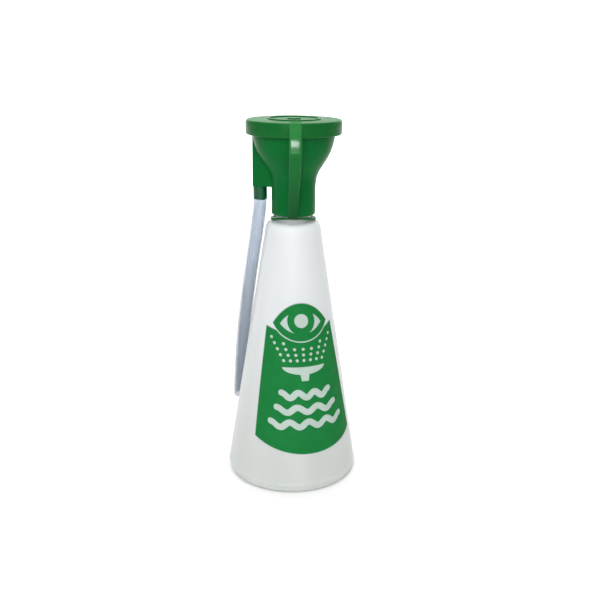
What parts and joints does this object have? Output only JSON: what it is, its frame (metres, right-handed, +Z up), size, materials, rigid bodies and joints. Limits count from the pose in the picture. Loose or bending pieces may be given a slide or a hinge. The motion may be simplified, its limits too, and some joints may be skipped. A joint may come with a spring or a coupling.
{
  "type": "squeeze bottle eyewash",
  "caption": "Cone-shaped squeeze bottle with a screw-on eye cup, side drain and hose, dust lid on a strap, dip tube and spray nozzle.",
  "frame": {"origin": "centre of the bottle's base, on the surface that it stands on", "axes": "+Z up along the bottle's axis, -Y towards the lid's strap, -X towards the drain duct"},
  "size_m": [0.0896, 0.0896, 0.245],
  "materials": {
    "bottle_polyethylene": "milky, see-through in thin places, soft gloss",
    "sign_ink": "printed green film, satin",
    "green_plastic": "moulded, semi-gloss",
    "dark_green_plastic": "moulded, semi-gloss",
    "natural_plastic": "uncoloured polyethylene, satin",
    "seal_foam": "matt closed-cell foam",
    "hose_vinyl": "clear bluish vinyl, glossy"
  },
  "bodies": {
    "bottle": {"bottle": "bottle_polyethylene", "sign_panel": "sign_ink", "sign_eye": "sign_ink"},
    "riser": {"gasket": "seal_foam", "dip_tube": "natural_plastic"},
    "head": {"eye_cup": "green_plastic", "spray_nozzle": "natural_plastic", "hose_spigot": "dark_green_plastic", "drain_hose": "hose_vinyl"},
    "tether": {"lid_tether": "green_plastic"},
    "lid": {"dust_lid": "green_plastic"}
  },
  "joints": [
    {"name": "head_lift", "type": "slide", "parent": "bottle", "child": "riser", "axis": [0, 0, 1], "range_m": [0, 0.0061]},
    {"name": "head_turn", "type": "hinge", "parent": "riser", "child": "head", "pos_m": [0, 0, 0.19], "axis": [0, 0, 1], "range_deg": [0, 540]},
    {"name": "tether_swivel", "type": "hinge", "parent": "head", "child": "tether", "pos_m": [0, 0, 0.18], "axis": [0, 0, 1], "range_deg": [-70, 225]},
    {"name": "lid_swing", "type": "hinge", "parent": "tether", "child": "lid", "pos_m": [0, -0.0354, 0.2336], "axis": [1, 0, 0], "range_deg": [0, 175]}
  ],
  "couplings": [
    {"joint": "head_lift", "follows": "head_turn", "m_per_rad": 0.00063662}
  ]
}
